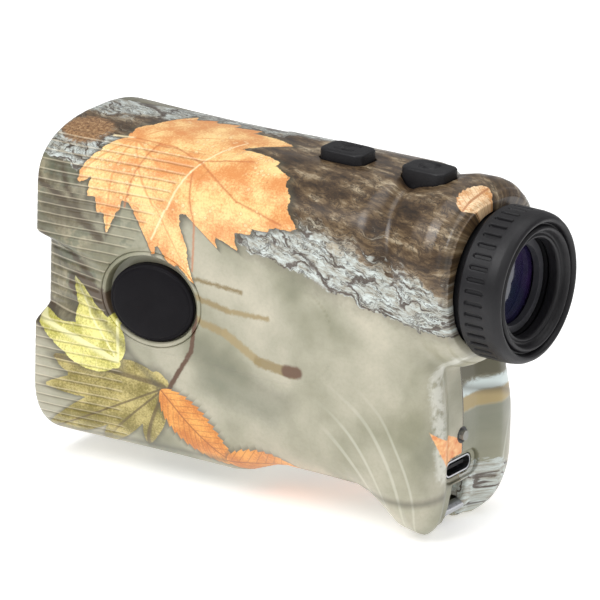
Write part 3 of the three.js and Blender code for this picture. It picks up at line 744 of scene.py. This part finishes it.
def far_side_and_rear(s, colour, lichen):
    """Leaves of the right side, a painted highlight down the rear ridge, and the scraps at the rear."""
    at = s.at
    leaf = s.lobed_leaf((34, 60), 42, MAPLE_LEAF, MAPLE_VEINS, turn=-122)
    colour = s.lay_leaf(colour, leaf, ((214, 134, 70), (248, 198, 124), (170, 98, 50)))
    leaf = s.lobed_leaf((88, 92), 24, GREEN_LEAF, GREEN_VEINS, turn=120, teeth=1.0)
    colour = s.lay_leaf(colour, leaf, ((186, 188, 80), (220, 216, 120), (236, 232, 170)))
    leaf = s.oval_leaf((30, 98), 19, 4.4, 24)
    colour = s.lay_leaf(colour, leaf, ((198, 116, 44), (236, 168, 84), (150, 80, 34)))
    leaf = s.oval_leaf((10.9, 20.5), 12, 2.7, 86)
    colour = s.lay_leaf(colour, leaf, ((206, 142, 78), (252, 226, 184), (170, 104, 56)), 0.2)
    # A painted highlight down the rounded ridge at the rear, broken up by noise.
    ridge_highlight = s.mul(s.stroke((9.8, -15), (7.0, -38), 1.5, 0.9, 3.0), s.step(s.noise(at, 0.5, 5), 0.34, 0.52))
    colour = s.tint(colour, ridge_highlight, 0.6, (224, 224, 214))
    along, across = s.local(1.2, -37.6, 44)
    wedge = s.sub(s.mul(s.sub(13.4, along), 0.26), s.abs(s.add(across, s.mul(s.jitter, 0.8))))
    tip = s.mul(s.step(wedge, -0.12, 0.12), s.step(along, -0.2, 0.1))
    orange = s.shades(s.noise(at, 0.7, 4), (0.35, 232, 138, 72), (0.65, 252, 200, 136))
    colour = s.mix(tip, colour, orange)
    # A scrap of bark beside the lanyard notch.
    along, across = s.local(5.5, 2 * CREST + 46)
    scrap = s.radius(along, across)
    colour = s.mix(s.step(s.add(scrap, s.mul(s.jitter, 5)), 6.0, 5.4), colour, lichen)
    return colour


def dew(s, colour, leaf_mask):
    """Drops of dew on the large leaf."""
    drop = s.cells(s.at, 0.62)
    damp = s.step(s.noise(s.at, 0.1, 2), 0.5, 0.56)
    wet = s.mul(s.mul(s.step(drop, 0.3, 0.22), damp), leaf_mask)
    colour = s.tint(colour, wet, 0.4, (255, 232, 180))
    rim = s.mul(s.step(s.abs(s.sub(drop, 0.27)), 0.05, 0.01), damp)
    colour = s.tint(colour, s.mul(rim, leaf_mask), 0.5, (190, 116, 60))
    return colour


def groove_shade_and_highlight(s, colour):
    """Painted shade darkens the bottoms of the grooves and a painted highlight lightens one side of each crest.
    """
    v = s.v
    turn = s.mul(v, 2 * math.pi / RIB_PITCH)
    # Painted shade in the groove bottoms, then a painted highlight on one side of each crest.
    groove_shade = s.mul(s.ribbed, s.step(s.math("COSINE", turn), 0.72, 1.0))
    lighter = s.mul(s.ribbed, s.step(s.math("COSINE", s.sub(turn, 0.95)), 0.8, 1.0))
    colour = s.tint(colour, groove_shade, 0.34, (70, 58, 38))
    colour = s.tint(colour, lighter, 0.26, (255, 240, 208))
    return colour


def printed_film():
    """The camouflage print, with painted highlights on the rear flanks and ridge and painted shade and highlights
    on the grooves: each layer lies over the colour so far.
    """
    s = Print("camouflage_film_with_painted_light")
    colour = flank_highlights_and_twigs(s, undergrowth(s, ground(s)))
    colour, lichen = trunk_over_top(s, right_flank(s, colour))
    colour, leaf_mask = large_leaf(s, low_leaves(s, colour))
    colour = far_side_and_rear(s, colour, lichen)
    colour = groove_shade_and_highlight(s, dew(s, colour, leaf_mask))
    s.feed(s.surface.inputs["Base Color"], colour)
    gloss = s.math("MULTIPLY_ADD", s.noise(s.at, 0.3, 4), 0.16, 0.27)
    s.feed(s.surface.inputs["Roughness"], gloss)
    s.surface.inputs["Coat Weight"].default_value = 0.14
    s.surface.inputs["Coat Roughness"].default_value = 0.22
    s.bump(s.noise(s.at, 3.0, 3), 0.00003, 0.6)
    return s.material


CAMO = printed_film()
BLACK = moulded("black_moulding", tone(12, 12, 14), tone(18, 18, 20), 0.5, Specular_IOR_Level=0.25)
DISC_BLACK = moulded("disc_moulding", tone(12, 10, 14), tone(17, 15, 19), 0.5, depth=0.00002,
                     Specular_IOR_Level=0.12)
RUBBER = moulded("black_rubber", tone(16, 15, 18), tone(26, 25, 28), 0.46, grain=3600, depth=0.00004,
                 Specular_IOR_Level=0.34)
GREY = moulded("grey_retainer", tone(52, 52, 56), tone(66, 66, 70), 0.42)
BOARD = moulded("solder_mask", tone(24, 84, 52), tone(34, 100, 62), 0.4)
BATTERY = moulded("battery_wrap", tone(60, 96, 150), tone(80, 116, 168), 0.38)
LAMP = moulded("lamp_lens", tone(150, 150, 142), tone(190, 190, 182), 0.25, Transmission_Weight=0.3)


def metal(name, colour, roughness):
    s = Shader(name, Metallic=1.0)
    at = s.object_point()
    stretched = s.node("ShaderNodeMapping")
    stretched.inputs["Scale"].default_value = (1.0, 0.06, 1.0)
    s.feed(stretched.inputs[0], at)
    brushed = s.noise(stretched.outputs[0], 3000, 3)
    dull = tuple(c * 0.78 for c in colour[:3]) + (1.0,)
    s.feed(s.surface.inputs["Base Color"], s.blend(brushed, [(0.3, dull), (0.7, colour)]))
    s.feed(s.surface.inputs["Roughness"], s.math("MULTIPLY_ADD", brushed, 0.2, roughness - 0.1))
    s.bump(brushed, 0.00001)
    return s.material


STEEL = metal("brushed_steel", tone(196, 198, 202), 0.3)
ALUMINIUM = metal("cast_aluminium", tone(188, 190, 194), 0.42)
BRASS = metal("brass", tone(206, 172, 98), 0.34)


def coated_glass(name, deep, glint):
    """Coated optics: nearly black straight through, with coloured reflections painted into the base colour."""
    s = Shader(name, Metallic=0.0, Specular_IOR_Level=0.5, Coat_Weight=0.25, Coat_Roughness=0.03)
    at = s.object_point()
    facing = s.node("ShaderNodeLayerWeight")
    facing.inputs["Blend"].default_value = 0.55
    cloud = s.noise(at, 90, 2)
    # Painted reflections: the base colour turns from nearly black face-on to teal and then violet towards grazing
    # angles.
    tint = s.blend(s.math("MULTIPLY_ADD", cloud, 0.5, facing.outputs["Facing"]), [
        (0.25, deep), (0.6, glint), (0.95, tone(44, 30, 66))])
    s.feed(s.surface.inputs["Base Color"], tint)
    s.feed(s.surface.inputs["Roughness"], s.math("MULTIPLY_ADD", cloud, 0.05, 0.03))
    return s.material


GLASS = coated_glass("coated_glass", tone(3, 4, 8), tone(8, 36, 44))
BY_SLOT = {"camo": CAMO, "rubber": RUBBER, "plastic": BLACK, "grey": GREY, "glass": GLASS, "steel": STEEL,
           "aluminium": ALUMINIUM, "brass": BRASS, "board": BOARD, "battery": BATTERY, "led": LAMP}
for entry in frame["record"]["subparts"]:
    node = NODES[entry["node"]]
    node.data.materials.clear()
    node.data.materials.append(BY_SLOT[entry["material_slot"]])


# ---------------- housing
REAR_PITCH = 0.8                  # how much of the rear face's width is added to the wrap


def with_wrap(obj):
    """Gives each point its place on the printed film, and whether it is grooved."""
    mesh = obj.data
    flat = np.empty(len(mesh.vertices) * 3)
    mesh.vertices.foreach_get("co", flat)
    points = flat.reshape(-1, 3) / MM - SHIFT
    wrap = np.zeros_like(points)
    inward = np.interp(points[:, 1], STATION_Y, HALF) - np.abs(points[:, 0])
    turned_in = (1 - ramp(points[:, 1], 15, 23)) * (1 - ramp(points[:, 2], -19, -13))
    wrap[:, 0] = points[:, 1] - REAR_PITCH * inward * turned_in
    wrap[:, 1] = wrap_height(points[:, 0], points[:, 1], points[:, 2])
    wrap[:, 2] = ribbed(points[:, 1], wrap[:, 1])
    layer = mesh.attributes.new("wrap", "FLOAT_VECTOR", "POINT")
    layer.data.foreach_set("vector", wrap.ravel())


COARSE = 1.0
STEP = (0.45 * COARSE, 0.6 * COARSE, 0.25 * COARSE)
points, quads = surface_net(housing_field, (-21.6, 8.6, -53.6), (21.6, 103.6, 19.8), STEP)
housing = mesh_object("housing_skin", points, quads, "housing", CAMO)
normals = field_normals(housing_field, points)
if len(housing.data.vertices) == len(normals):
    housing.data.normals_split_custom_set_from_vertices(normals.tolist())
with_wrap(housing)
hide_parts("shell_left", "shell_right")


# ---------------- turned and outlined pieces
def bridge(rings, count, closed=True):
    """Quads between rings of count points each, one after another, and back to the first if closed."""
    faces = []
    for i in range(rings if closed else rings - 1):
        j = (i + 1) % rings
        for k in range(count):
            m = (k + 1) % count
            faces.append((i * count + k, i * count + m, j * count + m, j * count + k))
    return faces


def turned(outline, segments):
    """An outline of (radius, along) turned about the second axis: points as (a, along, b)."""
    angles = np.linspace(0, 2 * math.pi, segments, endpoint=False)
    made = np.array([[(r * math.cos(t), s, r * math.sin(t)) for t in angles] for r, s in outline])
    return made.reshape(-1, 3), bridge(len(outline), segments)


def crisp(obj, angle):
    """Welds a piece, turns its faces outwards and keeps edges sharper than angle, in degrees."""
    made = bmesh.new()
    made.from_mesh(obj.data)
    bmesh.ops.remove_doubles(made, verts=made.verts, dist=1e-8)
    bmesh.ops.recalc_face_normals(made, faces=made.faces)
    made.to_mesh(obj.data)
    made.free()
    obj.data.shade_smooth()
    bpy.context.view_layer.objects.active = obj
    bpy.ops.object.select_all(action="DESELECT")
    obj.select_set(True)
    bpy.ops.object.shade_smooth_by_angle(angle=math.radians(angle))


def eased(points, rounds=3):
    """Corner cutting of a closed outline, which rounds it a little."""
    line = np.array(points, float)
    for _ in range(rounds):
        ahead = np.roll(line, -1, axis=0)
        line = np.stack([0.86 * line + 0.14 * ahead, 0.14 * line + 0.86 * ahead], axis=1).reshape(-1, 2)
    return line


# Eyecup: lip, groove and inner ring, with round-ended slots around the grip.
EYECUP = [(14.5, 7.8), (14.8, 7.8), (15.1, 7.4), (15.1, 6.6), (15.1, 4.2), (15.1, 1.8), (15.0, 0.9), (14.85, 0.1),
          (14.3, -0.9), (13.8, -1.2), (13.3, -1.1), (13.0, -0.5), (12.85, 0.1), (12.6, 0.1), (12.4, -0.6),
          (12.0, -0.95), (11.6, -0.8), (11.3, -0.2), (11.1, 0.5), (10.7, 0.55), (10.3, 0.2), (9.95, 0.4),
          (9.8, 0.9), (9.8, 2.6), (14.5, 2.6)]
SLOTS = 40


def slot_depth(angle, y):
    """Depth of the grip's slots, round at both ends."""
    pitch = 2 * math.pi / SLOTS
    across = (np.mod(angle + pitch / 2, pitch) - pitch / 2) * 15.3
    beyond = np.maximum(np.abs(y - 4.3) - 1.6, 0)
    return 0.5 * (1 - ramp(np.hypot(across, beyond), 0.3, 0.5))


def eyecup():
    """The rubber eyecup: a turned outline with slots pressed into its widest band."""
    segments = 640
    outline = []
    for (r0, y0), (r1, y1) in zip(EYECUP, EYECUP[1:] + EYECUP[:1]):
        count = max(1, int(math.hypot(r1 - r0, y1 - y0) / (0.16 if r0 > 15.0 and r1 > 15.0 else 0.5)))
        outline += [(r0 + (r1 - r0) * k / count, y0 + (y1 - y0) * k / count) for k in range(count)]
    outline = [tuple(p) for p in eased(outline, 1)]
    points, faces = turned(outline, segments)
    radius = np.hypot(points[:, 0], points[:, 2])
    angle = np.arctan2(points[:, 2], points[:, 0])
    depth = np.where(radius > 14.95, slot_depth(angle, points[:, 1]), 0)
    points[:, 0] -= np.cos(angle) * depth
    points[:, 2] -= np.sin(angle) * depth
    piece = mesh_object("rubber_eyecup", points, faces, "diopter_ring", RUBBER)
    crisp(piece, 50)
    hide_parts("eyecup")


eyecup()


# ---------------- side discs and their pockets
def on_side(points, side, tilt, drop):
    """Turned points (a, along, b) with along pointing out of the side, laid at the disc's centre."""
    a = math.radians(tilt)
    half = float(np.interp(DISC_Y, STATION_Y, HALF))
    out = points[:, 1] * math.cos(a) + points[:, 0] * math.sin(a)
    forward = points[:, 0] * math.cos(a) - points[:, 1] * math.sin(a)
    up = points[:, 2] * OVAL_Z
    return np.stack([side * (half + out), DISC_Y + forward * OVAL_Y, DISC_Z - drop + up], axis=1)


SURFACE_TILT = 3.0               # degrees that the side leans at the disc
DISC_TILT, DISC_DROP = 7, 0.8    # the disc leans more, and sits a little low in its pocket
for side, label in ((-1, "left"), (1, "right")):
    liner = [(0.01, -1.75), (8.9, -1.75), (9.35, -1.6), (9.5, -1.2), (9.5, 0.05), (9.65, 0.3), (9.95, 0.38),
             (10.25, 0.3), (10.45, 0.0), (10.55, -0.6), (10.3, -1.9), (0.01, -2.1)]
    points, faces = turned(liner, 128)
    pocket = mesh_object(f"disc_pocket_{label}", on_side(points, side, SURFACE_TILT, 0), faces, "housing",
                         CAMO)
    crisp(pocket, 40)
    with_wrap(pocket)
    disc = [(0.01, 0.42), (4.0, 0.4), (7.3, 0.32), (7.65, 0.22), (7.8, 0.1), (8.05, 0.12), (8.3, 0.0),
            (8.45, -0.25), (8.5, -1.5), (0.01, -1.6)]
    points, faces = turned(disc, 128)
    badge = mesh_object(f"side_disc_face_{label}", on_side(points, side, DISC_TILT, DISC_DROP), faces, "housing",
                        DISC_BLACK)
    crisp(badge, 25)
    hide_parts(f"side_disc_{label}")

# ---------------- buttons
def outline_button(grow):
    """A key's outline, grown outwards by a distance."""
    end, half, nose = BUTTON_END + grow, BUTTON_HALF + grow, BUTTON_NOSE
    corners = [(half, -end + nose), (half, end - nose), (half - nose, end), (nose - half, end),
               (-half, end - nose), (-half, nose - end), (nose - half, -end), (half - nose, -end)]
    return eased(corners, 2)


def mark_depth(kind, x, y):
    """Depth of the mark pressed into a key: a zigzag or an open ring."""
    if kind == "mode":
        path = [(-1.6, -1.6), (-1.6, 1.6), (0, 0.2), (1.6, 1.6), (1.6, -1.6)]
    else:
        path = [(1.7 * math.cos(t), 1.7 * math.sin(t)) for t in np.linspace(-2.6, 2.6, 14)]
    gap = np.full(np.shape(x), 99.0)
    for (x0, y0), (x1, y1) in zip(path, path[1:]):
        dx, dy = x1 - x0, y1 - y0
        t = np.clip(((x - x0) * dx + (y - y0) * dy) / (dx * dx + dy * dy), 0, 1)
        gap = np.minimum(gap, np.hypot(x - x0 - t * dx, y - y0 - t * dy))
    return 0.28 * (1 - ramp(gap, 0.28, 0.52))


CAP_TOP, CAP_CROWN = 19.84, 0.06


def button(kind, y0, body, node):
    """A key cap: side rings that round over at the top, then a crowned top with its mark."""
    rings = [(0.0, 15.6), (0.0, 19.35), (-0.04, 19.52), (-0.14, 19.65), (-0.3, 19.74), (-0.7, CAP_TOP)]
    points = []
    for grow, z in rings:
        points += [(x, y, z) for x, y in outline_button(grow)]
    count = len(points) // len(rings)
    faces = bridge(len(rings), count, closed=False)
    faces.append(tuple(range(count))[::-1])
    last = np.array(points[-count:])[:, :2]
    start = (len(rings) - 1) * count
    shells = 22
    for j in range(1, shells):
        scale = 1 - j / shells
        xy = last * scale
        z = CAP_TOP + CAP_CROWN * (1 - scale) - mark_depth(kind, xy[:, 0], xy[:, 1])
        points += [(x, y, h) for (x, y), h in zip(xy, z)]
        base = start + (j - 1) * count
        for k in range(count):
            m = (k + 1) % count
            faces.append((base + k, base + m, base + count + m, base + count + k))
    centre_mark = float(mark_depth(kind, np.array(0.0), np.array(0.0)))
    points.append((0, 0, CAP_TOP + CAP_CROWN - centre_mark))
    base = start + (shells - 1) * count
    for k in range(count):
        faces.append((base + k, base + (k + 1) % count, len(points) - 1))
    moved = np.array(points, float) + np.array([0, y0, 0])
    piece = mesh_object(f"{node}_cap", moved, faces, body, RUBBER)
    crisp(piece, 60)
    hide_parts(node)


button("mode", MODE_Y, "mode_key", "mode_button")
button("power", POWER_Y, "power_key", "power_button")

# ---------------- port and lamp surrounds
def bezel(name, half, radius, rim, y0, z0, material):
    """A ring with a straight-sided round-ended hole, facing the rear."""
    count = 48

    def track(grow):
        line = []
        for k in range(count):
            t = 2 * math.pi * k / count
            shift = math.copysign(half, math.cos(t)) * (abs(math.cos(t)) > 1e-9)
            line.append((shift + (radius + grow) * math.cos(t), (radius + grow) * math.sin(t)))
        return line

    profile = [(0, y0 + 1.0), (0, y0 + 0.1), (0.12, y0), (rim - 0.12, y0 - 0.12), (rim, y0),
               (rim + 0.1, y0 + 1.6), (0, y0 + 1.6)]
    points = []
    for grow, y in profile:
        points += [(x, y, z0 + z) for x, z in track(grow)]
    piece = mesh_object(name, points, bridge(len(profile), count), "housing", material)
    crisp(piece, 40)
    if material is CAMO:
        with_wrap(piece)


bezel("port_surround", 3.0, 1.85, 1.0, 15.6, PORT_Z, CAMO)
bezel("lamp_surround", 0.0, 1.05, 0.7, 15.0, LAMP_Z, GREY)

# ---------------- floor and light
floor_mesh = bpy.data.meshes.new("floor")
floor_mesh.from_pydata([(-3, -3, 0), (3, -3, 0), (3, 3, 0), (-3, 3, 0)], [], [(0, 1, 2, 3)])
floor = bpy.data.objects.new("floor", floor_mesh)
bpy.context.scene.collection.objects.link(floor)
FLOOR = Shader("floor_paper", Roughness=0.9, Emission_Color=(1.0, 1.0, 1.0, 1.0), Emission_Strength=0.42)
fibres = FLOOR.noise(FLOOR.object_point(), 4)
paper = FLOOR.blend(fibres, [(0.3, tone(246, 246, 246)), (0.7, tone(252, 252, 252))])
FLOOR.feed(FLOOR.surface.inputs["Base Color"], paper)
floor_mesh.materials.append(FLOOR.material)

world = bpy.data.worlds.new("studio")
bpy.context.scene.world = world
world.use_nodes = True
world.node_tree.nodes["Background"].inputs[0].default_value = (1.0, 1.0, 1.0, 1.0)
world.node_tree.nodes["Background"].inputs[1].default_value = 0.36


def softbox(name, azimuth, elevation, size, power, distance=0.6):
    """A round soft light that faces the part."""
    a, e = math.radians(azimuth), math.radians(elevation)
    way = Vector((math.sin(a) * math.cos(e), -math.cos(a) * math.cos(e), math.sin(e)))
    data = bpy.data.lights.new(name, "AREA")
    data.shape, data.size, data.energy = "DISK", size, power
    lamp = bpy.data.objects.new(name, data)
    lamp.location = Vector((0, 0, 0.04)) + way * distance
    lamp.rotation_mode = "QUATERNION"
    lamp.rotation_quaternion = way.to_track_quat("Z", "Y")
    bpy.context.scene.collection.objects.link(lamp)


softbox("key", -100, 50, 0.4, 2.3)
softbox("fill", -20, 25, 0.6, 0.6)
softbox("top", 60, 75, 0.6, 1.5)
bpy.context.scene.view_settings.view_transform = "Standard"
